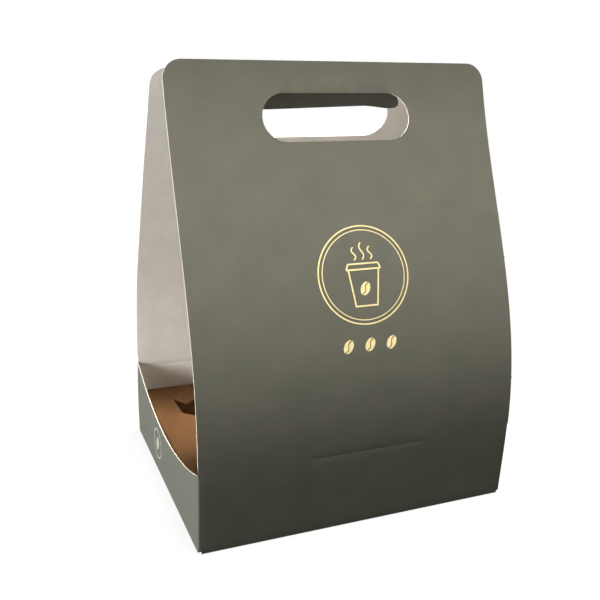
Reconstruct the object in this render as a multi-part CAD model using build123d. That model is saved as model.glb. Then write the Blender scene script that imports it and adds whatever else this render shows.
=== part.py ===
from build123d import *
from math import radians, sin, tan
import os

# A cup carrier for four hot drinks, in millimetres: a folded board sleeve whose front and back
# panels lean together over low side walls, and a kraft tray with four cup holes inside it.
# X runs along the front, Y to the back and Z up, with the origin in the middle of the base.

# Sleeve, one die-cut sheet
sleeve_width = 220
sleeve_depth = 182.7
front_top = 292.8
back_top = 288
board = 0.6
fold_radius = 1
panel_corner_radius = 12
side_front_height = 56
side_dip_height = 40
side_back_height = 61.5
nook_radius = 1.6

# How far each panel leans inwards, as shares of the depth, at shares of its height
height_shares = (0, 0.12, 0.25, 0.40, 0.60, 0.80, 1)
front_lean_shares = (0, -0.0129, -0.0164, 0.0158, 0.1182, 0.2480, 0.3511)
back_lean_shares = (0, -0.0053, 0.0158, 0.0524, 0.1735, 0.3258, 0.4829)

# Hand holes near the top of both panels, the front one with its flap pushed inwards
hand_hole_length = 101.4
hand_hole_height = 30.6
front_hole_drop = 35
back_hole_length = 128
back_hole_drop = 37.1
hand_flap_angle = 87
hand_flap_fold_radius = 0.9

# Bottom of the sleeve: two long flaps that meet at a seam, over a dust flap from each side
front_flap_share = 0.55
flap_seam = 1
flap_corner_cut = 12
dust_flap_length = 80
dust_flap_clearance = 1.5
corner_relief = 2

# Glue tab inside the back wall, and lines pressed into the board
glue_tab_width = 20
glue_tab_margin = 5
score_radius = 0.25
front_score_length = 83
front_score_height = 54
front_score_offset = 3.5
back_score_height = 57

# Kraft tray that stands on the bottom flaps
kraft = 1.2
tray_top = 36.7
tray_end_gap = 2.4
tray_side_gap = 1
tray_fold_radius = 2
tray_corner_slit = 2.5
cup_hole_radius = 33
cup_spacing_x = 112
cup_spacing_y = 102
petal_length = 12
petal_fold_radius = 1.5
petal_slit = 1
petal_tip_share = 0.72

# How far each tab round a cup hole is folded down, in degrees, from the right anticlockwise,
# and the one tab, of the back left hole, that was hardly pushed down
petal_angles = (66, 60, 63, 61, 58, 62, 66, 60)
raised_petal = (1, 3)
raised_petal_angle = 20

# Cuts run past the faces that they open by this much
overrun = 5

# Points that a line inside a panel is drawn through
line_steps = 14

half_width = sleeve_width / 2
half_depth = sleeve_depth / 2
floor_top = 2 * board


def panel_line(lean_shares, top, facing):
    """Outer face of a panel seen from the side, from its bottom fold to its top edge."""
    points = [
        (facing * (half_depth - lean * sleeve_depth), height * top)
        for lean, height in zip(lean_shares, height_shares)
    ]
    return Spline(*points)


def inner_line(line, facing, depth):
    """A line that runs this far inside a panel's outer face."""
    points = []
    for step in range(line_steps + 1):
        share = step / line_steps
        rise = line % share
        points.append((line @ share) + Vector(-facing * rise.Y, facing * rise.X) * depth)
    return Spline(*points)


def panel(line, facing, outer_depth, inner_depth, left, right):
    """Board between two depths inside a panel's outer face, from X left to X right."""
    outer = inner_line(line, facing, outer_depth) if outer_depth else line
    inner = inner_line(line, facing, inner_depth)
    section = make_face([outer, Line(outer @ 1, inner @ 1), inner, Line(inner @ 0, outer @ 0)])
    return extrude(Plane.YZ.offset(left) * section, right - left)


def along(line, distance):
    """The point at this distance up a panel's line."""
    return line.position_at(distance, position_mode=PositionMode.LENGTH)


def hole_plane(line, facing, drop):
    """Plane on a panel's outer face in the middle of its hand hole, X up along the panel."""
    spot = along(line, line.length - drop)
    rise = line.tangent_at(line.length - drop, position_mode=PositionMode.LENGTH)
    outward = Vector(0, facing * rise.Y, -facing * rise.X)
    return Plane(origin=(0, spot.X, spot.Y), x_dir=(0, rise.X, rise.Y), z_dir=outward)


def nook(line, facing, corner_height):
    """Start and end of the small curve by which a side wall's top edge turns up along a panel."""
    inner = inner_line(line, facing, board)
    start = along(inner, corner_height) - Vector(facing * nook_radius, 0)
    return start, along(inner, corner_height + nook_radius)


def upper_panel(line, facing, corner_height, hole_length, hole_drop):
    """The part of a panel above the side walls, with round top corners and its hand hole."""
    whole = panel(line, facing, 0, board, -half_width, half_width)
    split_height = nook(line, facing, corner_height)[1].Y
    upper = split(whole, bisect_by=Plane.XY.offset(split_height), keep=Keep.TOP)
    top_corners = upper.faces().sort_by(Axis.Z)[-1].edges().sort_by(SortBy.LENGTH)[:2]
    upper = fillet(top_corners, panel_corner_radius)
    hole = hole_plane(line, facing, hole_drop) * SlotOverall(hole_length, hand_hole_height, rotation=90)
    return upper - extrude(hole, overrun, both=True)


def is_upright(edge):
    size = edge.bounding_box().size
    return size.Z > size.X + size.Y


def is_bottom_fold(edge):
    middle = edge.center()
    from_wall = min(abs(abs(middle.X) - half_width), abs(abs(middle.Y) - half_depth))
    return edge.length > half_depth and middle.Z < floor_top and from_wall < board / 2


def box_block(front_line, back_line, depth):
    """A solid with round uprights, this far inside the walls' outer faces."""
    front = inner_line(front_line, -1, depth) if depth else front_line
    back = inner_line(back_line, 1, depth) if depth else back_line
    section = make_face([front, Line(front @ 1, back @ 1), back, Line(back @ 0, front @ 0)])
    block = extrude(Plane.YZ.offset(depth - half_width) * section, sleeve_width - 2 * depth)
    block = split(block, bisect_by=Plane.XY.offset(side_back_height + overrun), keep=Keep.BOTTOM)
    return fillet(block.edges().filter_by(is_upright), fold_radius - depth)


def side_openings(front_line, back_line):
    """What is cut away above the walls: level at the front and back, a shallow dip along the sides."""
    front_start, front_end = nook(front_line, -1, side_front_height)
    back_start, back_end = nook(back_line, 1, side_back_height)
    dip = ThreePointArc(front_start, (0, side_dip_height), back_start)
    front_turn = TangentArc(front_start, front_end, tangent=-(dip % 0))
    back_turn = TangentArc(back_start, back_end, tangent=dip % 1)
    reach = half_depth + overrun
    top = side_back_height + 2 * overrun
    rest = Polyline(
        back_end, (reach, back_end.Y), (reach, top), (-reach, top), (-reach, front_end.Y), front_end
    )
    opening = make_face([front_turn, dip, back_turn, rest])
    return extrude(Plane.YZ * opening, half_width + overrun, both=True)


def flap(length, width, bottom, corner_cut):
    """A bottom flap along +X from the origin, its free corners cut at an angle."""
    half = width / 2
    outline = Polyline(
        (0, -half), (length - corner_cut, -half), (length, corner_cut - half),
        (length, half - corner_cut), (length - corner_cut, half), (0, half), close=True
    )
    return extrude(Plane.XY.offset(bottom) * make_face(outline), board)


def bottom_flaps():
    """Front and back flaps that meet at a seam, and a dust flap from each side over them."""
    long_width = sleeve_width - 2 * corner_relief
    dust_width = sleeve_depth - 2 * (board + dust_flap_clearance)
    front_reach = front_flap_share * sleeve_depth
    back_reach = sleeve_depth - front_reach - flap_seam
    return [
        Pos(0, -half_depth) * Rot(Z=90) * flap(front_reach, long_width, 0, flap_corner_cut),
        Pos(0, half_depth) * Rot(Z=-90) * flap(back_reach, long_width, 0, flap_corner_cut),
        Pos(-half_width) * flap(dust_flap_length, dust_width, board, flap_corner_cut),
        Pos(half_width) * Rot(Z=180) * flap(dust_flap_length, dust_width, board, flap_corner_cut),
    ]


def lower_box(front_line, back_line):
    """Walls and bottom of the sleeve with their folds rounded and the bottom corners open."""
    box = box_block(front_line, back_line, 0) - box_block(front_line, back_line, board)
    box -= Box(sleeve_width - 2 * board, sleeve_depth - 2 * board, 2 * board)
    box -= side_openings(front_line, back_line)
    for side in (-half_width, half_width):
        box -= Pos(side) * Box(2 * corner_relief, sleeve_depth + overrun, 2 * board)
    for part in bottom_flaps():
        box += part
    relief = 2 * corner_relief
    for corner in GridLocations(sleeve_width, sleeve_depth, 2, 2):
        box -= corner * Box(relief, relief, relief)
    return fillet(box.edges().filter_by(is_bottom_fold), fold_radius)


def folded_strip(length, width, thickness, radius, angle):
    """A strip that leaves the origin along -X and folds down, its outer face on top, and the
    place on it from which its outline is measured once it is folded."""
    outer = CenterArc((0, -radius), radius, 90, angle)
    inner = CenterArc((0, -radius), radius - thickness, 90, angle)
    rest = (outer % 1) * (length - radians(angle) * radius)
    section = make_face([
        outer, Polyline(outer @ 1, outer @ 1 + rest, inner @ 1 + rest, inner @ 1),
        inner, Line(inner @ 0, outer @ 0)
    ])
    origin = Rot(Y=-angle) * Pos(X=radians(angle) * radius - sin(radians(angle)) * radius)
    return extrude(Plane.XZ * section, width / 2, both=True), origin


def hand_flap(line):
    """The front hand hole's flap, folded inwards from the hole's straight top edge."""
    radius = hand_hole_height / 2
    hinge_width = hand_hole_length - hand_hole_height
    strip, origin = folded_strip(
        hand_hole_height, hand_hole_length, board, hand_flap_fold_radius, hand_flap_angle
    )
    outline = Pos(X=-radius) * SlotOverall(hand_hole_length, hand_hole_height, rotation=90)
    outline += Rectangle(hand_hole_height, hinge_width)
    leaf = strip & (origin * extrude(outline, hand_hole_height, both=True))
    return hole_plane(line, -1, front_hole_drop).location * Pos(X=radius) * leaf


def score(spot, length, middle):
    """A round groove along X through a point of the side view."""
    return Pos(middle, spot.X, spot.Y) * Rot(Y=90) * Cylinder(score_radius, length)


def make_sleeve():
    front_line = panel_line(front_lean_shares, front_top, -1)
    back_line = panel_line(back_lean_shares, back_top, 1)
    sleeve = lower_box(front_line, back_line)
    sleeve += upper_panel(front_line, -1, side_front_height, hand_hole_length, front_hole_drop)
    sleeve += upper_panel(back_line, 1, side_back_height, back_hole_length, back_hole_drop)
    sleeve += hand_flap(front_line)
    tab_right = half_width - board / 2
    tab = panel(back_line, 1, board / 2, 2 * board, tab_right - glue_tab_width, tab_right)
    tab = split(tab, bisect_by=Plane.XY.offset(side_back_height - glue_tab_margin), keep=Keep.BOTTOM)
    tab = split(tab, bisect_by=Plane.XY.offset(glue_tab_margin), keep=Keep.TOP)
    sleeve += tab
    sleeve -= score(along(front_line, front_score_height), front_score_length, front_score_offset)
    back_spot = along(inner_line(back_line, 1, board), back_score_height)
    sleeve -= score(back_spot, sleeve_width + overrun, 0)
    return sleeve


def petal(angle):
    """One tab at a cup hole, folded down from its side of the hole at the origin."""
    half = cup_hole_radius * tan(radians(180 / len(petal_angles))) - petal_slit / 2
    tip = half * petal_tip_share
    fold = petal_fold_radius
    strip, origin = folded_strip(petal_length, 2 * half, kraft, fold, angle)
    outline = Polyline(
        (petal_length, -half), (petal_length, half), (-fold, half),
        (-petal_length, tip), (-petal_length, -tip), (-fold, -half), close=True
    )
    return strip & (origin * extrude(make_face(outline), petal_length, both=True))


def tray_block(inset, bottom):
    """The tray's outline as a solid with rounded top folds, drawn in by an inset."""
    length = sleeve_width - 2 * (board + tray_end_gap + inset)
    width = sleeve_depth - 2 * (board + tray_side_gap + inset)
    top = tray_top - inset
    block = Pos(0, 0, bottom) * Box(length, width, top - bottom, align=(Align.CENTER, Align.CENTER, Align.MIN))
    return fillet(block.faces().sort_by(Axis.Z)[-1].edges(), tray_fold_radius - inset)


def make_cup_tray():
    tray = tray_block(0, floor_top) - tray_block(kraft, 0)
    length = sleeve_width - 2 * (board + tray_end_gap)
    width = sleeve_depth - 2 * (board + tray_side_gap)
    slit = 2 * tray_corner_slit
    for corner in GridLocations(length, width, 2, 2):
        tray -= corner * Box(slit, slit, 2 * (tray_top + overrun))
    turn = 360 / len(petal_angles)
    hole = RegularPolygon(cup_hole_radius, len(petal_angles), major_radius=False, rotation=turn / 2)
    for place, middle in enumerate(GridLocations(cup_spacing_x, cup_spacing_y, 2, 2)):
        tray -= middle * Pos(Z=tray_top) * extrude(hole, kraft + overrun, both=True)
        for side, angle in enumerate(petal_angles):
            if (place, side) == raised_petal:
                angle = raised_petal_angle
            tray += middle * Rot(Z=side * turn) * Pos(X=cup_hole_radius, Z=tray_top) * petal(angle)
    return tray


os.makedirs("parts", exist_ok=True)
export_step(make_sleeve(), "parts/sleeve.step")
export_step(make_cup_tray(), "parts/cup_tray.step")
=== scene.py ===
from itertools import accumulate
from math import ceil, cos, dist, hypot, pi, radians, sin, sqrt, tan

import bmesh
import bpy
import numpy as np
from mathutils import Matrix, Vector
from mathutils.geometry import delaunay_2d_cdt


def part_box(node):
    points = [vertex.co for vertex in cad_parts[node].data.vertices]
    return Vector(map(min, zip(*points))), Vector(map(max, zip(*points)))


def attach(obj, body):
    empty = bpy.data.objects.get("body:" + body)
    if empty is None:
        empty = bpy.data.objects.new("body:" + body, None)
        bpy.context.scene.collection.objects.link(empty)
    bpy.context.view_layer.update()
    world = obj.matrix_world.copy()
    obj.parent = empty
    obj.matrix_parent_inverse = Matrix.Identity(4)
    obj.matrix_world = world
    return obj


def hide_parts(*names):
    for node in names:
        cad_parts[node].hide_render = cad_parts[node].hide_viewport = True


# The scene dresses a cup carrier of folded board: a printed sleeve with a kraft tray in it.
# Both are made again from their flat blanks, cut, folded and given their board's thickness.
# Lengths are millimetres, or metres where a name ends in _M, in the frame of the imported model.

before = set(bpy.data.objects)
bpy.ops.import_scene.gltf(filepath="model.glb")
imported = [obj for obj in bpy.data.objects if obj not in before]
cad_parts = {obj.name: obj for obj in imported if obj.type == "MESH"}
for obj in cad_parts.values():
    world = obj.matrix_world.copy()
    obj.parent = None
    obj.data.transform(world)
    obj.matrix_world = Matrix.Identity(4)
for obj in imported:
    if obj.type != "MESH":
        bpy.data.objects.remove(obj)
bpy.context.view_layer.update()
MM = 0.001
UP = Vector((0, 0, 1))

# Sleeve, with its width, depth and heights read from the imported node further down
BOARD = 0.6
FOLD_RADIUS = 1.0
CORNER_RADIUS = 12.0
SIDE_FRONT, SIDE_DIP, SIDE_BACK = 56.0, 40.0, 61.5
NOOK_RADIUS = 1.6
GLUE_TAB_WIDTH, GLUE_TAB_MARGIN, GLUE_TAB_SLOPE = 20.0, 5.0, 1.0

# Hand holes, and the flap that is pushed in from the front one and hangs down at its right end
HOLE_HEIGHT = 30.6
FRONT_HOLE_LENGTH, FRONT_HOLE_DROP = 101.4, 35.0
BACK_HOLE_LENGTH, BACK_HOLE_DROP = 128.0, 37.1
FLAP_FOLD_RADIUS = 0.9
FLAP_ANGLE, FLAP_TWIST = 87.0, 3.0
FLAP_CURL, FLAP_CURL_START, FLAP_CURL_RUN = 5.0, 33.0, 8.0

# Bottom flaps: a front and a back one that nearly meet, on two shorter ones from the sides
FRONT_FLAP_SHARE = 0.55
FLAP_SEAM = 1.0
FLAP_CORNER_CUT = 12.0
DUST_FLAP_LENGTH, DUST_FLAP_CLEARANCE = 80.0, 1.5
CORNER_RELIEF = 2.0

# Lines pressed into the panels, and the nicks that held the blank in its sheet
FRONT_SCORE_RISE, FRONT_SCORE_DEPTH = 54.0, 0.1
FRONT_SCORE_LEFT, FRONT_SCORE_RIGHT = -38.0, 45.0
BACK_SCORE_RISE, BACK_SCORE_DEPTH = 57.0, 0.22
SCORE_REACH, SCORE_END = 0.9, 1.0
SCORE_SHARES = (-1, -0.5, 0, 0.5, 1)
NICK_HEIGHTS = (89.3, 168.5)
NICK_SIZE, NICK_LENGTH = 0.5, 1.6
NICK_SHARES = (-0.5, -0.25, 0, 0.25, 0.5)

# Kraft tray, with one tab raised, given by its cup hole and its side of it
KRAFT = 1.2
TRAY_FOLD_RADIUS = 2.0
TRAY_SLIT = 2.5
CUP_HOLE_RADIUS = 33.0
CUP_SPACING_X, CUP_SPACING_Y = 112.0, 102.0
PETAL_LENGTH, PETAL_SLIT, PETAL_TIP_SHARE = 12.0, 1.0, 0.72
PETAL_CORNER_OUT, PETAL_CORNER_IN, PETAL_CORNER_RISE = 0.6, 0.8, 1.0
PETAL_FOLD_RADIUS = 1.5
PETAL_ANGLES = (66, 60, 63, 61, 58, 62, 66, 60)
RAISED_PETAL, RAISED_ANGLE = (1, 3), 20

# How finely the blanks are cut up, with each fold drawn wider than it is, to give it clean rows
FLAT_FOLD, FOLD_STEPS = 6.0, 5
GRID, FINE_GRID = 6.0, 4.0
OUTLINE_STEP, PETAL_STEP = 4.0, 3.0
SLOT_STEPS, CORNER_STEPS = 12, 10
PETAL_POINTS = 8
SIDE_POINTS, SIDE_MARGIN_SHARE = 32, 0.04
SIDE_END_SHARES = (0, 0.001, 0.002, 0.004, 0.007, 0.011, 0.02)
SIDE_TRIES = 8
FLAP_ROW_INSET, PETAL_ROW_INSET = 0.3, 0.15

# How near two points, a point and a line, or a place and an end lie that count as one
SAME_SPOT, TOUCHING, ON_LINE, END_SHARE = 1e-3, 1e-5, 0.01, 1e-4
WELD_M, COLLAPSE_M = 2e-6, 1e-6
SLIVER_AREA = 1e-4

# How the panels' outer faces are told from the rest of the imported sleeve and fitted
OUTWARD_NORMAL, SIDEWAYS_NORMAL = 0.5, 0.05
PANEL_DEGREE, PANEL_SAMPLES = 9, 600

# Materials of a sheet's faces
OUTER, INNER, EDGE = 0, 1, 2


def smooth(share):
    """Eases from 0 to 1, and stays level before and after."""
    share = min(max(share, 0), 1)
    return share * share * (3 - 2 * share)


def arc(middle, radius, start, end, steps):
    """Points on an arc, angles in degrees."""
    angles = [radians(start + (end - start) * i / steps) for i in range(steps + 1)]
    return [(middle[0] + radius * cos(angle), middle[1] + radius * sin(angle)) for angle in angles]


def straight(start, end, step=OUTLINE_STEP):
    """Points from start up to but not including end."""
    count = max(1, ceil(dist(start, end) / step))
    return [
        (start[0] + (end[0] - start[0]) * i / count, start[1] + (end[1] - start[1]) * i / count)
        for i in range(count)
    ]


def walk(corners, step=OUTLINE_STEP):
    """An outline through these corners with points at every step, its last corner included."""
    points = []
    for start, end in zip(corners, corners[1:]):
        points += straight(start, end, step)
    return points + [corners[-1]]


def slot(length, height):
    """A slot's outline round the origin, its straight top edge first, from the left."""
    radius = height / 2
    reach = length / 2 - radius
    return (
        straight((-reach, radius), (reach, radius))
        + arc((reach, 0), radius, 90, -90, SLOT_STEPS)[:-1]
        + straight((reach, -radius), (-reach, -radius))
        + arc((-reach, 0), radius, -90, -270, SLOT_STEPS)[:-1]
    )


def clean(points):
    """Drops points of a closed outline that repeat the one before."""
    kept = []
    for point in points:
        if not kept or dist(point, kept[-1]) > SAME_SPOT:
            kept.append((float(point[0]), float(point[1])))
    if dist(kept[0], kept[-1]) < SAME_SPOT:
        kept.pop()
    return kept


def circle_through(a, b, c):
    """Middle and radius of the circle through three points."""
    (ax, ay), (bx, by), (cx, cy) = a, b, c
    d = 2 * (ax * (by - cy) + bx * (cy - ay) + cx * (ay - by))
    squares = [x * x + y * y for x, y in (a, b, c)]
    x = (squares[0] * (by - cy) + squares[1] * (cy - ay) + squares[2] * (ay - by)) / d
    y = (squares[0] * (cx - bx) + squares[1] * (ax - cx) + squares[2] * (bx - ax)) / d
    return (x, y), hypot(ax - x, ay - y)


def inside(points, loops):
    """Which points lie inside an odd number of the loops."""
    points = np.asarray(points, float)
    found = np.zeros(len(points), bool)
    for loop in loops:
        a = np.asarray(loop, float)
        b = np.roll(a, -1, axis=0)
        for (x0, y0), (x1, y1) in zip(a, b):
            if y0 != y1:
                crosses = (points[:, 1] > min(y0, y1)) & (points[:, 1] <= max(y0, y1))
                at = x0 + (points[:, 1] - y0) * (x1 - x0) / (y1 - y0)
                found ^= crosses & (points[:, 0] < at)
    return found


def grid_spots(fixed, loops, grid):
    """An even grid of spots inside the loops, clear of the points that are fixed."""
    ranges = [np.arange(a + grid / 2, b, grid) for a, b in zip(fixed.min(0), fixed.max(0))]
    spots = np.stack(np.meshgrid(*ranges), -1).reshape(-1, 2)
    spots = spots[inside(spots, loops)]
    near = np.array([np.min(np.hypot(*(fixed - spot).T)) for spot in spots])
    return [tuple(spot) for spot in spots[near > grid / 2]]


def flat_triangles(loops, lines, grid):
    """Cuts a flat sheet with these loops into triangles that keep its lines, without the slivers
    that its straight sides would leave."""
    points, edges = [], []
    for chain, closed in [(loop, True) for loop in loops] + [(line, False) for line in lines]:
        first = len(points)
        points += chain
        edges += [(i, i + 1) for i in range(first, len(points) - 1)]
        if closed:
            edges.append((len(points) - 1, first))
    points += grid_spots(np.array(points), loops, grid)
    cut = delaunay_2d_cdt([Vector(point) for point in points], edges, [], 0, TOUCHING)
    flat, faces, sources = cut[0], cut[2], cut[3]
    rim = sum(len(loop) for loop in loops)
    on_rim = [min(source, default=rim) < rim for source in sources]
    corners = [[flat[i] for i in face] for face in faces]
    middles = [sum(spots, Vector((0, 0))) / 3 for spots in corners]
    kept = []
    for face, (a, b, c), within in zip(faces, corners, inside(middles, loops)):
        doubled = (b - a).cross(c - a)
        sliver = all(on_rim[i] for i in face) and abs(doubled) < 2 * SLIVER_AREA
        if within and not sliver:
            kept.append(face if doubled >= 0 else face[::-1])
    return flat, kept


def not_joined(middle):
    """Says of every cut edge that nothing is joined to it."""
    return False


def cut_sheet(bm, loops, lines, place, thickness, joined=not_joined, grid=GRID):
    """Adds a folded sheet to a mesh, with cut edges wherever no other sheet is joined to it.
    The loops are its flat outline and holes, the lines its folds, and place(u, v, depth) folds it."""
    flat, triangles = flat_triangles(loops, lines, grid)
    unfold = bm.loops.layers.uv.verify()
    layers = [[bm.verts.new(place(p.x, p.y, depth) * MM) for p in flat] for depth in (0, thickness)]

    def add(corners, material):
        face = bm.faces.new([layers[side][i] for side, i in corners])
        face.material_index = material
        for loop, (_, i) in zip(face.loops, corners):
            loop[unfold].uv = flat[i] * MM

    for face in triangles:
        add([(0, i) for i in face], OUTER)
        add([(1, i) for i in reversed(face)], INNER)
    sides = [side for face in triangles for side in zip(face, [*face[1:], face[0]])]
    shared = set(sides)
    for start, end in sides:
        if (end, start) not in shared and not joined((flat[start] + flat[end]) / 2):
            add([(0, end), (0, start), (1, start), (1, end)], EDGE)


def at_fold(middle):
    """Whether a flap's cut edge is the fold along which it is joined."""
    return abs(middle.y) < ON_LINE


def fold_rows(bent, reach):
    """Rows across a flap's fold, which ends at v = -bent, each as wide as reach(v) says."""
    heights = [-bent * step / FOLD_STEPS for step in range(1, FOLD_STEPS + 1)]
    return [walk([(-reach(v), v), (reach(v), v)]) for v in heights]


def weld(bm):
    """Joins the sheets of a mesh and rounds its shading, apart from its cut edges."""
    bmesh.ops.remove_doubles(bm, verts=bm.verts, dist=WELD_M)
    bmesh.ops.dissolve_degenerate(bm, dist=COLLAPSE_M, edges=bm.edges)
    loose = [vert for vert in bm.verts if not vert.link_faces]
    bmesh.ops.delete(bm, geom=loose, context="VERTS")
    for face in bm.faces:
        face.smooth = True
    for edge in bm.edges:
        edge.smooth = len({face.material_index for face in edge.link_faces}) == 1


def make_piece(bm, name, materials):
    """Turns a mesh into a piece of the carrier."""
    mesh = bpy.data.meshes.new(name)
    bm.to_mesh(mesh)
    bm.free()
    for material in materials:
        mesh.materials.append(material)
    piece = bpy.data.objects.new(name, mesh)
    bpy.context.scene.collection.objects.link(piece)
    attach(piece, "root")
    return piece


def panel_line(facing):
    """How far back a panel's outer face lies at each height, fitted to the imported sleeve, and its top."""
    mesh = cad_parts["sleeve"].data
    low = 2 * FOLD_RADIUS * MM
    spots = set()
    for face in mesh.polygons:
        outward = face.normal.y * facing > OUTWARD_NORMAL and face.center.y * facing > 0
        if outward and abs(face.normal.x) < SIDEWAYS_NORMAL and face.center.z > low:
            spots.update(face.vertices)
    places = np.array([mesh.vertices[spot].co for spot in sorted(spots)]) / MM
    places = places[places[:, 0] < -BACK_HOLE_LENGTH / 2 - FOLD_RADIUS]
    fitted = np.polynomial.Polynomial.fit(places[:, 2], places[:, 1], PANEL_DEGREE)
    return fitted, places[:, 2].max()


class Panel:
    """A leaning panel's outer face, distances along it, and its nook at the side walls."""

    def __init__(self, facing, wall_rise):
        self.facing = facing
        self.line, self.top = panel_line(facing)
        self.slope = self.line.deriv()
        self.heights = np.linspace(0, self.top, PANEL_SAMPLES)
        steps = np.hypot(np.diff(self.heights), np.diff(self.line(self.heights)))
        self.rises = np.concatenate([[0], np.cumsum(steps)])
        self.corner = self.spot(0, self.height(wall_rise), BOARD)
        self.nook = self.corner.z + NOOK_RADIUS

    def height(self, rise):
        """The height at this distance along the panel."""
        return float(np.interp(rise, self.rises, self.heights))

    def outward(self, z):
        """The direction that the panel faces at this height."""
        return Vector((0, self.facing, -self.facing * self.slope(z))).normalized()

    def spot(self, x, z, depth):
        """A point this deep in the board."""
        return Vector((x, self.line(z), z)) - self.outward(z) * depth


front = Panel(-1, SIDE_FRONT)
back = Panel(1, SIDE_BACK)
panels = {"front": front, "back": back}
side_panels = {"left": (back, front), "right": (front, back)}
FACING = {
    "front": Vector((0, -1, 0)),
    "back": Vector((0, 1, 0)),
    "left": Vector((-1, 0, 0)),
    "right": Vector((1, 0, 0)),
}

_, sleeve_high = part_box("sleeve")
half_width = sleeve_high.x / MM
half_depth = -float(front.line(0))
front_score = front.height(FRONT_SCORE_RISE)
back_score = back.height(BACK_SCORE_RISE)
hinge_height = front.height(front.rises[-1] - FRONT_HOLE_DROP + HOLE_HEIGHT / 2)
hinge_reach = (FRONT_HOLE_LENGTH - HOLE_HEIGHT) / 2

# The sleeve's blank: u runs round the carrier from the back panel's free edge, and v up its walls
side_length = 2 * (half_depth - FOLD_RADIUS)
lengths = {
    "back": 2 * half_width - FOLD_RADIUS,
    "back_left": FLAT_FOLD,
    "left": side_length,
    "front_left": FLAT_FOLD,
    "front": 2 * (half_width - FOLD_RADIUS),
    "front_right": FLAT_FOLD,
    "right": side_length,
    "back_right": FLAT_FOLD,
    "tab": GLUE_TAB_WIDTH - FOLD_RADIUS,
}
starts = dict(zip(lengths, accumulate(lengths.values(), initial=0)))
front_flap_length = FRONT_FLAP_SHARE * 2 * half_depth
flap_lengths = {
    "right": DUST_FLAP_LENGTH,
    "front": front_flap_length,
    "left": DUST_FLAP_LENGTH,
    "back": 2 * half_depth - front_flap_length - FLAP_SEAM,
}
tab_end = starts["tab"] + lengths["tab"]
tab_top = SIDE_BACK - GLUE_TAB_MARGIN
wall_foot = 2 * BOARD + FOLD_RADIUS
no_nook = 2 * front.top

dip_middle, dip_radius = circle_through(front.corner.yz, (0, SIDE_DIP), back.corner.yz)


def dip(y):
    """Height of the side walls' top edge."""
    y = min(max(y, front.corner.y), back.corner.y)
    return dip_middle[1] - sqrt(dip_radius ** 2 - (y - dip_middle[0]) ** 2)


def fold_reach(z, depth, nook):
    """How far from a corner its upright fold starts: the fold closes up below its nook."""
    radius = FOLD_RADIUS * smooth((nook - z) / (3 * FOLD_RADIUS))
    opened = min(max((z - nook) / FOLD_RADIUS, 0), 1)
    return max(radius, depth) * (1 - opened)


def upright_fold(name, share, z, depth):
    """A point round the upright fold between two walls, facing the first of them, then the second."""
    left, right = FACING["left"], FACING["right"]
    x, y, first, second, nook = {
        "back_left": (-half_width, back.line(z), back.outward(z), left, back.nook),
        "front_left": (-half_width, front.line(z), left, front.outward(z), front.nook),
        "front_right": (half_width, front.line(z), front.outward(z), right, front.nook),
        "back_right": (half_width, back.line(z) - BOARD, right, FACING["back"], no_nook),
    }[name]
    reach = fold_reach(z, depth, nook)
    middle = Vector((x, y, z)) - (first + second) * reach
    angle = share * pi / 2
    return middle + (first * cos(angle) + second * sin(angle)) * (reach - depth)


def side_end(name, panel, z, depth):
    """How far back a side wall meets its fold at the front or back panel."""
    if panel is front:
        return front.line(z) + fold_reach(z, depth, front.nook)
    if name == "left":
        return back.line(z) - fold_reach(z, depth, back.nook)
    return back.line(z) - BOARD - fold_reach(z, depth, no_nook)


def side_spot(name, share, z, depth):
    """A point of a side wall."""
    first, last = (side_end(name, panel, z, depth) for panel in side_panels[name])
    return Vector((FACING[name].x * (half_width - depth), first + (last - first) * share, z))


def panel_ends(panel, z, depth):
    """Where across the carrier a panel starts and ends, in the order of u."""
    reach = half_width - fold_reach(z, depth, panel.nook)
    return (-reach, reach) if panel is front else (half_width, -reach)


def panel_u(panel, x, z):
    """Where this point of a panel lies along the blank."""
    name = "front" if panel is front else "back"
    first, last = panel_ends(panel, z, 0)
    return starts[name] + lengths[name] * (x - first) / (last - first)


def nick(z):
    """How far the small nicks stand out of the front panel's free edges."""
    off = min(abs(z - height) for height in NICK_HEIGHTS)
    return NICK_SIZE * smooth(1 - 2 * off / NICK_LENGTH)


def pressed(off, deepest):
    """Depth of a line pressed into the board, this far off its middle."""
    return deepest * smooth(1 - abs(off) / SCORE_REACH)


def panel_spot(panel, share, z, depth):
    """A point of a leaning panel, with its pressed line and its nicks."""
    first, last = panel_ends(panel, z, depth)
    x = first + (last - first) * share
    if panel is back:
        groove = pressed(z - back_score, BACK_SCORE_DEPTH) if depth else 0
        return back.spot(x, z, depth - groove)
    if z > front.nook and min(share, 1 - share) < END_SHARE:
        x += nick(z) if x > 0 else -nick(z)
    from_end = min(x - FRONT_SCORE_LEFT, FRONT_SCORE_RIGHT - x)
    groove = pressed(z - front_score, FRONT_SCORE_DEPTH) * smooth(from_end / SCORE_END)
    return front.spot(x, z, depth + groove)


def wall_spot(name, local, z, depth):
    """A point of a wall, an upright fold or the glue tab, above the bottom folds."""
    share = local / lengths[name]
    if name in panels:
        return panel_spot(panels[name], share, z, depth)
    if name in side_panels:
        return side_spot(name, share, z, depth)
    if name == "tab":
        x = half_width - fold_reach(z, depth, no_nook) - local
        return Vector((x, back.line(z) - BOARD - depth, z))
    return upright_fold(name, share, z, depth)


def fold_height(name):
    """Where a wall's bottom fold begins: the side walls' flaps lie on the long ones."""
    return FOLD_RADIUS + (BOARD if name in side_panels else 0)


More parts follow.
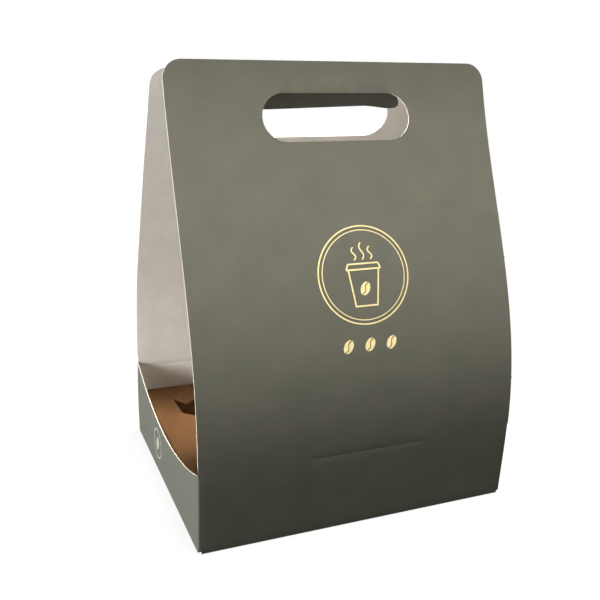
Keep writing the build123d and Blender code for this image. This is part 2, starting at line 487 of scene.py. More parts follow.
def sleeve_spot(u, v, depth):
    """Folds a point of the sleeve's blank."""
    name = next((name for name in lengths if u <= starts[name] + lengths[name] + TOUCHING), "tab")
    local = min(max(u - starts[name], 0), lengths[name])
    bottom = fold_height(name)
    if v >= bottom or name not in FACING:
        return wall_spot(name, local, v, depth)
    inward = -FACING[name]
    middle = wall_spot(name, local, bottom, 0) + inward * FOLD_RADIUS
    turn = min((bottom - v) / FLAT_FOLD, 1) * pi / 2
    past = max(bottom - FLAT_FOLD - v, 0)
    return middle - (inward * cos(turn) + UP * sin(turn)) * (FOLD_RADIUS - depth) + inward * past


def free_edge(panel, foot):
    """Heights of the points up a panel's free edge, from this foot to its round corner."""
    shoulder = panel.height(panel.rises[-1] - CORNER_RADIUS)
    heights = [z for _, z in straight((0, foot), (0, shoulder))]
    if panel is front:
        for height in NICK_HEIGHTS:
            heights = [z for z in heights if abs(z - height) > NICK_LENGTH]
            heights += [height + NICK_LENGTH * share for share in NICK_SHARES]
    return sorted(heights)


def panel_top(panel, first_foot, last_foot):
    """A panel's free edges and round top corners, in the order of u, down to a foot at each end."""
    middle = panel.rises[-1] - CORNER_RADIUS
    reach = half_width - CORNER_RADIUS
    first_turn = arc((-reach, middle), CORNER_RADIUS, 180, 90, CORNER_STEPS)
    last_turn = arc((reach, middle), CORNER_RADIUS, 90, 0, CORNER_STEPS)
    over = straight((-reach, panel.rises[-1]), (reach, panel.rises[-1]))[1:]
    chain = [(-half_width, z) for z in free_edge(panel, first_foot)]
    chain += [(x, panel.height(rise)) for x, rise in first_turn + over + last_turn]
    chain += [(half_width, z) for z in reversed(free_edge(panel, last_foot))]
    flip = 1 if panel is front else -1
    return [(panel_u(panel, flip * x, z), z) for x, z in chain]


def nook_lift(gap):
    """How far a nook's round end stands above the dip, this far from its panel."""
    return NOOK_RADIUS - sqrt(NOOK_RADIUS ** 2 - max(NOOK_RADIUS - max(gap, 0), 0) ** 2)


def side_top(name):
    """The top edge of a side wall, from one nook to the other. Its height and how far back it
    lies depend on each other, so both are worked out in a few tries."""
    shares = {*SIDE_END_SHARES, *np.linspace(SIDE_MARGIN_SHARE, 1 - SIDE_MARGIN_SHARE, SIDE_POINTS)}
    shares.update(1 - share for share in SIDE_END_SHARES)
    behind = BOARD if name == "right" else 0
    points = []
    for share in sorted(shares):
        z = SIDE_DIP
        for _ in range(SIDE_TRIES):
            y = side_spot(name, share, z, 0).y
            z = dip(y) + nook_lift(min(y - front.line(z), back.line(z) - behind - y))
        points.append((starts[name] + share * lengths[name], z))
    first, last = side_panels[name]
    return [(points[0][0], first.nook), *points[1:-1], (points[-1][0], last.nook)]


def flap_ends(name):
    """Where a wall's bottom flap starts and ends along the blank."""
    if name in panels:
        reach = half_width - CORNER_RELIEF
        return sorted(panel_u(panels[name], x, 0) for x in (-reach, reach))
    margin = BOARD + DUST_FLAP_CLEARANCE - FOLD_RADIUS
    return starts[name] + margin, starts[name] + lengths[name] - margin


def bottom_flap(name):
    """Outline of a wall's bottom flap, from its last end back to its first."""
    first, last = flap_ends(name)
    end = fold_height(name) - FLAT_FOLD - (flap_lengths[name] - FOLD_RADIUS)
    shoulder = end + FLAP_CORNER_CUT
    return [
        (last, wall_foot), (last, shoulder), (last - FLAP_CORNER_CUT, end),
        (first + FLAP_CORNER_CUT, end), (first, shoulder), (first, wall_foot),
    ]


def blank_outline():
    """The sleeve's outline: along the tops of its walls, round the glue tab and back along its flaps."""
    points = panel_top(back, CORNER_RELIEF, back.nook) + side_top("left")
    points += panel_top(front, front.nook, front.nook) + side_top("right")
    points += [(starts["back_right"], tab_top + GLUE_TAB_SLOPE)]
    points += walk([(starts["tab"], tab_top), (tab_end, tab_top), (tab_end, GLUE_TAB_MARGIN)])
    points += [(starts["tab"], GLUE_TAB_MARGIN)]
    corners = [(starts["back_right"], wall_foot)]
    for name in flap_lengths:
        corners += [(starts[name] + lengths[name], wall_foot)]
        corners += bottom_flap(name)
        corners += [(starts[name], wall_foot)]
    return clean(points + walk(corners)[:-1])


def blank_folds():
    """Rows and columns of the folds and the pressed lines, across the blank."""
    lines = []
    upright = (("back_left", back.nook), ("front_left", front.nook), ("front_right", front.nook))
    for step in range(FOLD_STEPS + 1):
        past = FLAT_FOLD * step / FOLD_STEPS
        for name, top in upright:
            lines.append(walk([(starts[name] + past, wall_foot), (starts[name] + past, top)]))
        u = starts["back_right"] + past
        lines.append(walk([(u, GLUE_TAB_MARGIN + GLUE_TAB_SLOPE), (u, tab_top - GLUE_TAB_SLOPE)]))
        for name in FACING:
            lines.append(walk([(u, fold_height(name) - past) for u in flap_ends(name)]))
    back_reach = half_width - 2 * FOLD_RADIUS
    for share in SCORE_SHARES:
        z = front_score + SCORE_REACH * share
        lines.append(walk([(panel_u(front, x, z), z) for x in (FRONT_SCORE_LEFT, FRONT_SCORE_RIGHT)]))
        z = back_score + SCORE_REACH * share
        lines.append(walk([(panel_u(back, x, z), z) for x in (back_reach, -back_reach)]))
    return lines


def hand_hole(panel, length, drop):
    """A hand hole's outline on the blank, this far below the panel's top edge."""
    middle = panel.rises[-1] - drop
    spots = [(x, panel.height(middle + y)) for x, y in slot(length, HOLE_HEIGHT)]
    return [(panel_u(panel, x, z), z) for x, z in spots]


def hinged(middle):
    """Whether a cut edge of the blank is the hand flap's hinge."""
    across = abs(middle.x - panel_u(front, 0, hinge_height))
    return abs(middle.y - hinge_height) < ON_LINE and across < hinge_reach


def flap_curl(x):
    """How much of its whole drop the flap's right end hangs down at this place along it."""
    share = (x - FLAP_CURL_START) / (FRONT_HOLE_LENGTH / 2 - FLAP_CURL_START)
    return max(share, 0) ** 2


def flap_spot(x, v, depth):
    """Folds a point of the hand flap inwards, the flap a little twisted."""
    angle = radians(FLAP_ANGLE + FLAP_TWIST * x / (FRONT_HOLE_LENGTH / 2))
    outward = front.outward(hinge_height)
    down = FACING["right"].cross(outward)
    bent = FLAP_FOLD_RADIUS * angle
    turn = angle * min(-v / bent, 1)
    past = max(-v - bent, 0)
    spot = front.spot(x, hinge_height, FLAP_FOLD_RADIUS)
    spot += (outward * cos(turn) + down * sin(turn)) * (FLAP_FOLD_RADIUS - depth)
    spot.z -= FLAP_CURL * flap_curl(x) * min(-v / FLAP_CURL_RUN, 1)
    return spot + (down * cos(angle) - outward * sin(angle)) * past


def flap_reach(v):
    """How far the rows of the hand flap's fold reach to each side."""
    radius = HOLE_HEIGHT / 2
    return hinge_reach + sqrt(radius ** 2 - (radius + v) ** 2) - FLAP_ROW_INSET


def make_sleeve(materials):
    """The folded sleeve with its hand holes, and the flap that hangs on the front one."""
    bm = bmesh.new()
    holes = [
        hand_hole(front, FRONT_HOLE_LENGTH, FRONT_HOLE_DROP),
        hand_hole(back, BACK_HOLE_LENGTH, BACK_HOLE_DROP),
    ]
    cut_sheet(bm, [blank_outline(), *holes], blank_folds(), sleeve_spot, BOARD, hinged)
    flap = [(x, y - HOLE_HEIGHT / 2) for x, y in slot(FRONT_HOLE_LENGTH, HOLE_HEIGHT)]
    rows = fold_rows(FLAP_FOLD_RADIUS * pi / 2, flap_reach)
    cut_sheet(bm, [flap], rows, flap_spot, BOARD, at_fold, FINE_GRID)
    weld(bm)
    piece = make_piece(bm, "folded_sleeve", materials)
    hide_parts("sleeve")


tray_low, tray_high = (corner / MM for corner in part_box("cup_tray"))
tray_top = tray_high.z
tray_reach = Vector((tray_high.x - TRAY_FOLD_RADIUS, tray_high.y - TRAY_FOLD_RADIUS))
leg_reach = Vector((tray_high.x - TRAY_SLIT, tray_high.y - TRAY_SLIT))
cup_places = [
    Vector((x * CUP_SPACING_X / 2, y * CUP_SPACING_Y / 2, 0)) for x in (-1, 1) for y in (-1, 1)
]
petal_turn = 2 * pi / len(PETAL_ANGLES)
petal_corner = CUP_HOLE_RADIUS * tan(petal_turn / 2)
petal_half = petal_corner - PETAL_SLIT / 2
petal_tip = petal_half * PETAL_TIP_SHARE


def tray_spot(u, v, depth):
    """Folds a point of the tray's blank, whose middle is the tray's."""
    if abs(u) > tray_reach.x:
        past, edge = abs(u) - tray_reach.x, Vector((0, v, 0))
        reach, outward = tray_reach.x, FACING["right" if u > 0 else "left"]
    else:
        past, edge = abs(v) - tray_reach.y, Vector((u, 0, 0))
        reach, outward = tray_reach.y, FACING["back" if v > 0 else "front"]
    if past <= 0:
        return Vector((u, v, tray_top - depth))
    turn = min(past / FLAT_FOLD, 1) * pi / 2
    drop = max(past - FLAT_FOLD, 0)
    radius = TRAY_FOLD_RADIUS - depth
    rise = tray_top - TRAY_FOLD_RADIUS + radius * cos(turn) - drop
    return edge + outward * (reach + radius * sin(turn)) + UP * rise


def tray_outline():
    """The tray's blank: its deck, and a leg along each side, with a slit at each corner."""
    leg = FLAT_FOLD + tray_top - TRAY_FOLD_RADIUS - tray_low.z
    far = tray_reach + Vector((leg, leg))
    quarter = [(far.x, leg_reach.y), (leg_reach.x, leg_reach.y), (leg_reach.x, far.y)]
    half = quarter + [(-x, y) for x, y in reversed(quarter)]
    corners = half + [(-x, -y) for x, y in half]
    return clean(walk([*corners, corners[0]])[:-1])


def tray_folds():
    """Rows along the folds of the tray's four legs."""
    rows = []
    for step in range(FOLD_STEPS + 1):
        past = FLAT_FOLD * step / FOLD_STEPS
        for sign in (-1, 1):
            x, y = sign * (tray_reach.x + past), sign * (tray_reach.y + past)
            rows.append(walk([(x, -leg_reach.y), (x, leg_reach.y)]))
            rows.append(walk([(-leg_reach.x, y), (leg_reach.x, y)]))
    return rows


def petal_axes(side):
    """Outward from the hole's middle, and along its side."""
    angle = side * petal_turn
    return Vector((cos(angle), sin(angle), 0)), Vector((sin(angle), -cos(angle), 0))


def cup_hole(place):
    """A cup hole's outline: eight sides, each with its tab's fold between two short slits."""
    points = []
    for side in range(len(PETAL_ANGLES)):
        outward, across = petal_axes(side)
        for along in (petal_corner, *np.linspace(petal_half, -petal_half, PETAL_POINTS)):
            spot = place + outward * CUP_HOLE_RADIUS + across * along
            points.append((spot.x, spot.y))
    return points


def at_petal(middle):
    """Whether a cut edge of the tray is the fold of a cup hole's tab."""
    for place in cup_places:
        spot = middle.to_3d() - place
        for side in range(len(PETAL_ANGLES)):
            outward, across = petal_axes(side)
            on_side = abs(spot.dot(outward) - CUP_HOLE_RADIUS) < ON_LINE
            if on_side and abs(spot.dot(across)) < petal_half:
                return True
    return False


def petal_outline():
    """A tab's outline from its fold at v = 0 to its tip, which has blunted corners."""
    half = [
        (petal_half, 0.0),
        (petal_tip + PETAL_CORNER_OUT, PETAL_CORNER_RISE - PETAL_LENGTH),
        (petal_tip - PETAL_CORNER_IN, -PETAL_LENGTH),
    ]
    fold = [(along, 0.0) for along in np.linspace(-petal_half, petal_half, PETAL_POINTS)]
    rest = walk(half + [(-x, v) for x, v in reversed(half)], PETAL_STEP)
    return clean(fold + rest[1:-1])


def petal_reach(v):
    """How far the rows of a tab's fold reach to each side."""
    return petal_half + (petal_half - petal_tip) * v / PETAL_LENGTH - PETAL_ROW_INSET


def add_petal(bm, place, side, angle):
    """A cup hole's tab, folded down by this angle."""
    outward, across = petal_axes(side)
    angle = radians(angle)
    bent = PETAL_FOLD_RADIUS * angle
    hinge = place + outward * CUP_HOLE_RADIUS + UP * (tray_top - PETAL_FOLD_RADIUS)

    def petal_spot(along, v, depth):
        turn = angle * min(-v / bent, 1)
        past = max(-v - bent, 0)
        rounded = (UP * cos(turn) - outward * sin(turn)) * (PETAL_FOLD_RADIUS - depth)
        return hinge + across * along + rounded - (outward * cos(angle) + UP * sin(angle)) * past

    rows = fold_rows(bent, petal_reach)
    cut_sheet(bm, [petal_outline()], rows, petal_spot, KRAFT, at_fold, FINE_GRID)


def make_tray(materials):
    """The kraft tray on its legs, with the tabs of its four cup holes folded down."""
    bm = bmesh.new()
    loops = [tray_outline()] + [cup_hole(place) for place in cup_places]
    cut_sheet(bm, loops, tray_folds(), tray_spot, KRAFT, at_petal)
    for hole, place in enumerate(cup_places):
        for side, angle in enumerate(PETAL_ANGLES):
            add_petal(bm, place, side, RAISED_ANGLE if (hole, side) == RAISED_PETAL else angle)
    weld(bm)
    piece = make_piece(bm, "kraft_cup_tray", materials)
    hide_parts("cup_tray")


# Emblem on the front, drawn in distances from its middle, X across and Y up the panel
EMBLEM_X, EMBLEM_RISE = 4.4, 168.0
RING_RADIUS, RING_WIDTH = 31.0, 0.9
INNER_RING_GAP, INNER_RING_WIDTH = 2.6, 0.6
CUP_TOP, CUP_FOOT, CUP_HEIGHT, CUP_BASE = 21.0, 15.0, 23.0, -19.5
LID_HEIGHT, LID_OVERHANG = 3.6, 1.4
STROKE, STEAM_STROKE, STROKE_STEP = 1.0, 0.9, 2.0
STEAM_GAP, STEAM_SPACING, STEAM_SWAY = 2.4, 5.6, 1.3
STEAM_HEIGHTS = (8.25, 11.0, 8.25)
BEAN_LENGTH, BEAN_WIDTH, BEAN_GAP, BEAN_SWAY, BEAN_TILT = 9.2, 6.2, 0.7, 0.9, 60
CUP_BEAN_SHARE, BEAN_ROW_DROP, BEAN_ROW_SPACING = 0.47, 44.0, 15.0
PRINT_RISE, PRINT_SINK = 0.05, 0.05
RING_STEPS, STEAM_STEPS, BEAN_STEPS, BEAN_END_SHARE = 120, 20, 16, 0.98

# Motif on the left wall: a ring round a larger bean
SIDE_MOTIF_Y, SIDE_MOTIF_Z = 20.0, 23.0
SIDE_RING_RADIUS, SIDE_RING_STEPS = 11.0, 60
SIDE_BEAN_SHARE = 1.2


def ribbon(points, width, closed=False):
    """A line of even width, as its left side, its right side and whether it is closed."""
    spots = np.asarray(points, float)
    if closed:
        ways = np.roll(spots, -1, axis=0) - np.roll(spots, 1, axis=0)
    else:
        ways = np.gradient(spots, axis=0)
    ways /= np.linalg.norm(ways, axis=1)[:, None]
    sides = np.stack([-ways[:, 1], ways[:, 0]], 1) * width / 2
    return spots + sides, spots - sides, closed


def stroke(*corners):
    """A straight line of the emblem through these corners."""
    return ribbon(walk(corners, STROKE_STEP), STROKE)


def ring(radius, width, steps):
    """A circle round the middle."""
    return ribbon(arc((0, 0), radius, 0, 360, steps)[:-1], width, closed=True)


def turned(points, middle, angle):
    """Points turned by this many degrees and moved to a middle."""
    c, s = cos(radians(angle)), sin(radians(angle))
    return np.array([(middle[0] + x * c - y * s, middle[1] + x * s + y * c) for x, y in points])


def bean(middle, size=1):
    """A coffee bean as two filled halves with an S-shaped gap, each between two lines."""
    length, width = size * BEAN_LENGTH, size * BEAN_WIDTH
    halves = []
    for side in (-1, 1):
        rim, gap = [], []
        for s in np.linspace(-BEAN_END_SHARE, BEAN_END_SHARE, BEAN_STEPS + 1):
            rim.append((length / 2 * s, side * width / 2 * sqrt(1 - s * s)))
            gap.append((length / 2 * s, side * BEAN_GAP / 2 + BEAN_SWAY * sin(pi * s) * (1 - s * s)))
        first, second = (rim, gap) if side > 0 else (gap, rim)
        halves.append((turned(first, middle, BEAN_TILT), turned(second, middle, BEAN_TILT), False))
    return halves


def steam(column, low, height):
    """A wisp of steam above the cup, swaying once from side to side."""
    shares = np.linspace(0, 1, STEAM_STEPS + 1)
    x = column * STEAM_SPACING
    line = [(x + STEAM_SWAY * sin(2 * pi * share), low + height * share) for share in shares]
    return ribbon(line, STEAM_STROKE)


def emblem_strips():
    """A double ring round a steaming cup, over a row of three beans."""
    top = CUP_BASE + CUP_HEIGHT
    lid_top = top + LID_HEIGHT
    lid_half = CUP_TOP / 2
    rim_half = lid_half + LID_OVERHANG
    foot_half = CUP_FOOT / 2
    base_half = foot_half + STROKE / 2
    strips = [
        ring(RING_RADIUS, RING_WIDTH, RING_STEPS),
        ring(RING_RADIUS - INNER_RING_GAP, INNER_RING_WIDTH, RING_STEPS),
        stroke((-base_half, CUP_BASE), (base_half, CUP_BASE)),
        stroke((-rim_half, top), (rim_half, top)),
        stroke((-lid_half, lid_top), (lid_half, lid_top)),
    ]
    for side in (-1, 1):
        strips.append(stroke((side * lid_half, top), (side * foot_half, CUP_BASE)))
        strips.append(stroke((side * rim_half, top), (side * lid_half, lid_top)))
    strips += bean((0, CUP_BASE + CUP_HEIGHT * CUP_BEAN_SHARE))
    for column, height in zip((-1, 0, 1), STEAM_HEIGHTS):
        strips.append(steam(column, lid_top + STEAM_GAP, height))
        strips += bean((column * BEAN_ROW_SPACING, -BEAN_ROW_DROP))
    return strips


def raised_print(name, strips, place, material):
    """Strips laid on the board as thin closed bodies, through place(x, y, height)."""
    bm = bmesh.new()
    for left, right, closed in strips:
        rows = []
        for a, b in zip(left, right):
            corners = ((a, PRINT_RISE), (b, PRINT_RISE), (b, -PRINT_SINK), (a, -PRINT_SINK))
            rows.append([bm.verts.new(place(*spot, height) * MM) for spot, height in corners])
        pairs = list(zip(rows, rows[1:]))
        if closed:
            pairs.append((rows[-1], rows[0]))
        else:
            bm.faces.new(rows[0][::-1])
            bm.faces.new(rows[-1])
        for first, second in pairs:
            for i in range(4):
                j = (i + 1) % 4
                bm.faces.new([first[i], first[j], second[j], second[i]])
    bmesh.ops.recalc_face_normals(bm, faces=bm.faces)
    make_piece(bm, name, [material])


def on_front(x, y, height):
    """A point of the emblem, this far above the front panel's board."""
    return front.spot(EMBLEM_X + x, front.height(EMBLEM_RISE + y), -height)


def on_left(x, y, height):
    """A point of the motif, this far above the left wall's board."""
    return Vector((-half_width - height, SIDE_MOTIF_Y - x, SIDE_MOTIF_Z + y))


def make_prints():
    """The emblem in foil, and the motif in pale ink."""
    raised_print("front_emblem", emblem_strips(), on_front, foil_face())
    motif = [ring(SIDE_RING_RADIUS, RING_WIDTH, SIDE_RING_STEPS), *bean((0, 0), SIDE_BEAN_SHARE)]
    raised_print("side_motif", motif, on_left, pale_ink())


def srgb(red, green, blue):
    """A colour given as 0 to 255 on a screen."""
    parts = [part / 255 for part in (red, green, blue)]
    return tuple(p / 12.92 if p <= 0.04045 else ((p + 0.055) / 1.055) ** 2.4 for p in parts) + (1.0,)


# Each material varies between its first two colours, and its third is sprinkled on
INK_COLORS = srgb(73, 74, 67), srgb(78, 78, 71), srgb(89, 89, 81)
WHITE_COLORS = srgb(236, 232, 224), srgb(243, 240, 233), srgb(214, 208, 196)
CUT_COLORS = srgb(214, 207, 191), srgb(232, 227, 213)
KRAFT_COLORS = srgb(104, 72, 40), srgb(88, 59, 32), srgb(62, 41, 23)
KRAFT_EDGE_COLORS = srgb(134, 101, 64), srgb(112, 81, 48), srgb(80, 55, 32)
FOIL_COLORS = srgb(232, 212, 148), srgb(242, 226, 172)
PALE_INK_COLORS = srgb(128, 127, 120), srgb(140, 139, 131)

# How far the fibres and layers of each material stand out
INK_BUMP_M, WHITE_BUMP_M, CUT_BUMP_M, KRAFT_BUMP_M = 0.00004, 0.00006, 0.00005, 0.00009
PRINT_BUMP_M = 0.00003

# A colour mix's sockets by number, since other kinds of mix have some of the same names
MIX_FIRST, MIX_SECOND, MIX_RESULT = 6, 7, 2


def add_node(tree, kind, values=(), **settings):
    """Adds a shader node. Values name its inputs: a socket is linked, anything else is set."""
    node = tree.nodes.new(kind)
    for key, value in settings.items():
        setattr(node, key, value)
    for key, value in dict(values).items():
        if isinstance(value, bpy.types.NodeSocket):
            tree.links.new(value, node.inputs[key])
        else:
            node.inputs[key].default_value = value
    return node


def new_material(name):
    """An empty material and its node tree."""
    material = bpy.data.materials.new(name)
    material.use_nodes = True
    tree = material.node_tree
    tree.nodes.clear()
    return material, tree


def blank_place(tree, along=1, across=1):
    """Coordinates on the flat blank in metres, scaled along and across the board."""
    place = add_node(tree, "ShaderNodeTexCoord").outputs["UV"]
    values = {"Vector": place, "Scale": (along, across, 1)}
    return add_node(tree, "ShaderNodeMapping", values).outputs["Vector"]


def object_place(tree):
    """Coordinates in the carrier's frame, in metres."""
    return add_node(tree, "ShaderNodeTexCoord").outputs["Object"]


def noise(tree, place, scale, detail, roughness=0.6):
    """Soft noise of this scale at these coordinates."""
    values = {"Vector": place, "Scale": scale, "Detail": detail, "Roughness": roughness}
    return add_node(tree, "ShaderNodeTexNoise", values).outputs["Fac"]


def fibre_noise(tree, along, across, detail, roughness=0.6):
    """Streaks along the board, from noise scaled by different amounts along and across it."""
    return noise(tree, blank_place(tree, along, across), 1.0, detail, roughness)


def ramp(tree, value, low, high, start=0.0, end=1.0):
    """Turns a value between low and high into one between start and end."""
    values = {"Value": value, "From Min": low, "From Max": high, "To Min": start, "To Max": end}
    return add_node(tree, "ShaderNodeMapRange", values).outputs["Result"]


def blend_colors(tree, share, first, second):
    """The first colour where the share is 0, and the second where it is 1."""
    values = {"Factor": share, MIX_FIRST: first, MIX_SECOND: second}
    return add_node(tree, "ShaderNodeMix", values, data_type="RGBA").outputs[MIX_RESULT]


def surface(tree, color, roughness, height, distance_m, strength, **shader):
    """The shader with a bump from these heights, and the material's output."""
    values = {"Height": height, "Strength": strength, "Distance": distance_m}
    bump = add_node(tree, "ShaderNodeBump", values).outputs["Normal"]
    values = {"Base Color": color, "Roughness": roughness, "Normal": bump}
    values.update({key.replace("_", " "): value for key, value in shader.items()})
    node = add_node(tree, "ShaderNodeBsdfPrincipled", values)
    add_node(tree, "ShaderNodeOutputMaterial", {"Surface": node.outputs["BSDF"]})


def printed_face():
    """Dark grey-green ink under a matt film, slightly mottled."""
    material, tree = new_material("printed_face")
    dark, light, speck = INK_COLORS
    mottle = noise(tree, blank_place(tree), scale=45.0, detail=4.0)
    grain = noise(tree, blank_place(tree), scale=1800.0, detail=2.0)
    fibres = fibre_noise(tree, along=260, across=1500, detail=3.0)
    color = blend_colors(tree, ramp(tree, mottle, 0.35, 0.65), dark, light)
    color = blend_colors(tree, ramp(tree, grain, 0.45, 0.8, end=0.25), color, speck)
    roughness = ramp(tree, mottle, 0.3, 0.7, start=0.5, end=0.58)
    surface(tree, color, roughness, fibres, INK_BUMP_M, strength=0.12, Specular_IOR_Level=0.03)
    return material


def white_face():
    """The board's uncoated white inside, with fine fibres."""
    material, tree = new_material("white_face")
    cool, warm, fibre = WHITE_COLORS
    cloud = noise(tree, blank_place(tree), scale=60.0, detail=4.0)
    fibres = fibre_noise(tree, along=350, across=1600, detail=4.0, roughness=0.7)
    color = blend_colors(tree, ramp(tree, cloud, 0.35, 0.65), cool, warm)
    color = blend_colors(tree, ramp(tree, fibres, 0.5, 0.8, end=0.2), color, fibre)
    surface(tree, color, 0.8, fibres, WHITE_BUMP_M, strength=0.25, Specular_IOR_Level=0.3)
    return material


def cut_face():
    """The board's cream cut edge, with the layers of its fibres."""
    material, tree = new_material("cut_face")
    layers = noise(tree, object_place(tree), scale=2600.0, detail=3.0)
    color = blend_colors(tree, ramp(tree, layers, 0.35, 0.65), *CUT_COLORS)
    surface(tree, color, 0.85, layers, CUT_BUMP_M, strength=0.3, Specular_IOR_Level=0.2)
    return material


def kraft_face(name, light, dark, fleck):
    """Brown kraft board: long fibres, soft clouds and a few dark flecks."""
    material, tree = new_material(name)
    cloud = noise(tree, blank_place(tree), scale=35.0, detail=4.0)
    fibres = fibre_noise(tree, along=220, across=1300, detail=5.0, roughness=0.7)
    flecks = fibre_noise(tree, along=420, across=900, detail=2.0)
    color = blend_colors(tree, ramp(tree, cloud, 0.3, 0.7), light, dark)
    color = blend_colors(tree, ramp(tree, fibres, 0.3, 0.75, end=0.55), color, dark)
    color = blend_colors(tree, ramp(tree, flecks, 0.68, 0.78, end=0.6), color, fleck)
    surface(tree, color, 0.82, fibres, KRAFT_BUMP_M, strength=0.35, Specular_IOR_Level=0.25)
    return material


def foil_face():
    """Pale gold foil pressed on the ink."""
    material, tree = new_material("pale_gold_foil")
    cloud = noise(tree, object_place(tree), scale=400.0, detail=3.0)
    color = blend_colors(tree, ramp(tree, cloud, 0.3, 0.7), *FOIL_COLORS)
    roughness = ramp(tree, cloud, 0.3, 0.7, start=0.3, end=0.4)
    surface(tree, color, roughness, cloud, PRINT_BUMP_M, strength=0.1, Metallic=1.0)
    return material


def pale_ink():
    """Pale ink that is hardly lighter than the printed face."""
    material, tree = new_material("pale_ink")
    cloud = noise(tree, object_place(tree), scale=900.0, detail=3.0)
    color = blend_colors(tree, ramp(tree, cloud, 0.3, 0.7), *PALE_INK_COLORS)
    surface(tree, color, 0.5, cloud, PRINT_BUMP_M, strength=0.1, Specular_IOR_Level=0.35)
    return material


# Camera, fitted to the photograph's panel edges, with its lens and sensor in millimetres
CAMERA_PLACE_M = (-0.21764, -0.51177, 0.29674)
CAMERA_LENS, CAMERA_SENSOR = 48.48, 36.0
CAMERA_YAW, CAMERA_PITCH, CAMERA_ROLL = 22.237, 16.930, 1.173

# Studio: the room's light, and a floor that turns to plain white away from the carrier
WHITE = (1, 1, 1, 1)
WORLD_FILL = 0.07
FLOOR_REACH_M = 3.0
FLOOR_NEAR_M, FLOOR_FAR_M = 0.16, 0.45
FLOOR_GLOW = 0.86
FLOOR_BOUNCE, FLOOR_SEEN = (0.08, 0.08, 0.08, 1), (0.35, 0.35, 0.35, 1)

# Lamps, each with its place and size in metres, its power in watts and its colour
LAMP_TARGET_M = (0, 0, 0.15)
WARM_LIGHT, PLAIN_LIGHT = (1.0, 0.95, 0.87), (1, 1, 1)
LAMPS_M = {
    "overhead_softbox": ((0.10, -0.17, 2.2), 0.6, 158.0, WARM_LIGHT),
    "front_overhead": ((-0.05, -0.60, 2.6), 0.6, 66.0, WARM_LIGHT),
    "left_softbox": ((-1.1, -0.11, 0.30), 0.4, 26.0, PLAIN_LIGHT),
    "front_softbox": ((0.2, -1.4, 0.95), 0.5, 2.2, PLAIN_LIGHT),
}


def make_camera():
    """The camera, at the photograph's angle."""
    yaw, pitch, roll = (radians(angle) for angle in (CAMERA_YAW, CAMERA_PITCH, CAMERA_ROLL))
    ahead = Vector((sin(yaw), cos(yaw), 0))
    right = Vector((cos(yaw), -sin(yaw), 0))
    view = ahead * cos(pitch) - UP * sin(pitch)
    level = UP * cos(pitch) + ahead * sin(pitch)
    across = right * cos(roll) + level * sin(roll)
    above = level * cos(roll) - right * sin(roll)
    data = bpy.data.cameras.new("camera")
    data.lens, data.sensor_width = CAMERA_LENS, CAMERA_SENSOR
    camera = bpy.data.objects.new("camera", data)
    bpy.context.scene.collection.objects.link(camera)
    axes = Matrix((across, above, -view)).transposed().to_4x4()
    camera.matrix_world = Matrix.Translation(CAMERA_PLACE_M) @ axes
    bpy.context.scene.camera = camera


def seen_directly(tree):
    """1 for rays from the camera and for those that a gloss or glass sends on."""
    path = add_node(tree, "ShaderNodeLightPath").outputs
    share = path["Is Camera Ray"]
    for ray in ("Is Glossy Ray", "Is Transmission Ray"):
        values = {0: share, 1: path[ray]}
        share = add_node(tree, "ShaderNodeMath", values, operation="MAXIMUM").outputs[0]
    return share


def make_world():
    """White where it is seen, and a weak even light on the carrier."""
    world = bpy.data.worlds.new("studio")
    bpy.context.scene.world = world
    world.use_nodes = True
    tree = world.node_tree
    tree.nodes.clear()
    strength = ramp(tree, seen_directly(tree), 0, 1, WORLD_FILL, 1.0)
    light = add_node(tree, "ShaderNodeBackground", {"Color": WHITE, "Strength": strength})
    add_node(tree, "ShaderNodeOutputWorld", {"Surface": light.outputs[0]})


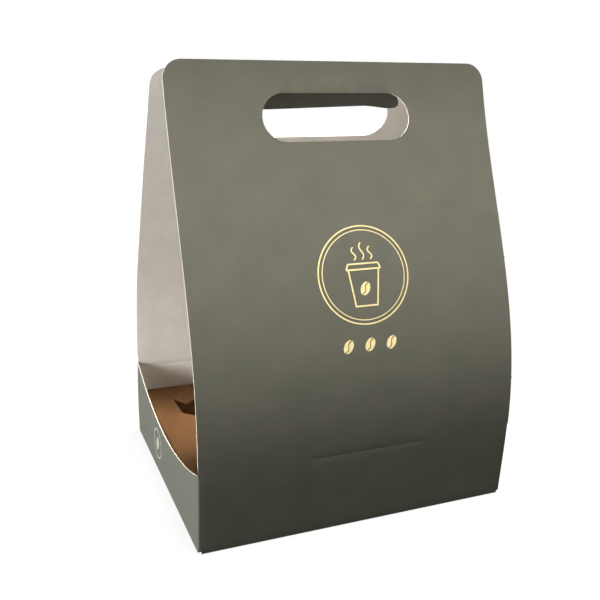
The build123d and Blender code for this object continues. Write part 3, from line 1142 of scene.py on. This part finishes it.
def floor_material():
    """Plain white away from the carrier, with its soft shadow near it."""
    material, tree = new_material("pale_floor")
    seen = seen_directly(tree)
    tone = blend_colors(tree, seen, FLOOR_BOUNCE, FLOOR_SEEN)
    plain = add_node(tree, "ShaderNodeBsdfDiffuse", {"Color": tone}).outputs[0]
    glow = add_node(tree, "ShaderNodeEmission", {"Color": WHITE, "Strength": 1.0}).outputs[0]
    away = add_node(tree, "ShaderNodeVectorMath", {0: object_place(tree)}, operation="LENGTH")
    share = ramp(tree, away.outputs["Value"], FLOOR_NEAR_M, FLOOR_FAR_M, FLOOR_GLOW, 1.0)
    share = add_node(tree, "ShaderNodeMath", {0: share, 1: seen}, operation="MULTIPLY").outputs[0]
    mixed = add_node(tree, "ShaderNodeMixShader", {0: share, 1: plain, 2: glow}).outputs[0]
    add_node(tree, "ShaderNodeOutputMaterial", {"Surface": mixed})
    return material


def make_floor():
    """A plain pale floor."""
    quarters = ((-1, -1), (1, -1), (1, 1), (-1, 1))
    corners = [(x * FLOOR_REACH_M, y * FLOOR_REACH_M, 0) for x, y in quarters]
    mesh = bpy.data.meshes.new("floor")
    mesh.from_pydata(corners, [], [(0, 1, 2, 3)])
    mesh.materials.append(floor_material())
    floor = bpy.data.objects.new("floor", mesh)
    bpy.context.scene.collection.objects.link(floor)


def make_lamp(name, place_m, size_m, power, color):
    """A square softbox that points at the carrier's middle."""
    data = bpy.data.lights.new(name, "AREA")
    data.shape, data.size, data.energy, data.color = "SQUARE", size_m, power, color
    lamp = bpy.data.objects.new(name, data)
    bpy.context.scene.collection.objects.link(lamp)
    lamp.location = place_m
    ahead = Vector(LAMP_TARGET_M) - Vector(place_m)
    lamp.rotation_euler = ahead.to_track_quat("-Z", "Y").to_euler()


def make_studio():
    """Camera, background, floor and lamps."""
    make_camera()
    make_world()
    make_floor()
    for name, settings in LAMPS_M.items():
        make_lamp(name, *settings)
    bpy.context.scene.view_settings.view_transform = "Standard"


make_studio()
make_sleeve([printed_face(), white_face(), cut_face()])
kraft = kraft_face("kraft_face", *KRAFT_COLORS)
kraft_edge = kraft_face("kraft_edge", *KRAFT_EDGE_COLORS)
make_tray([kraft, kraft, kraft_edge])
make_prints()
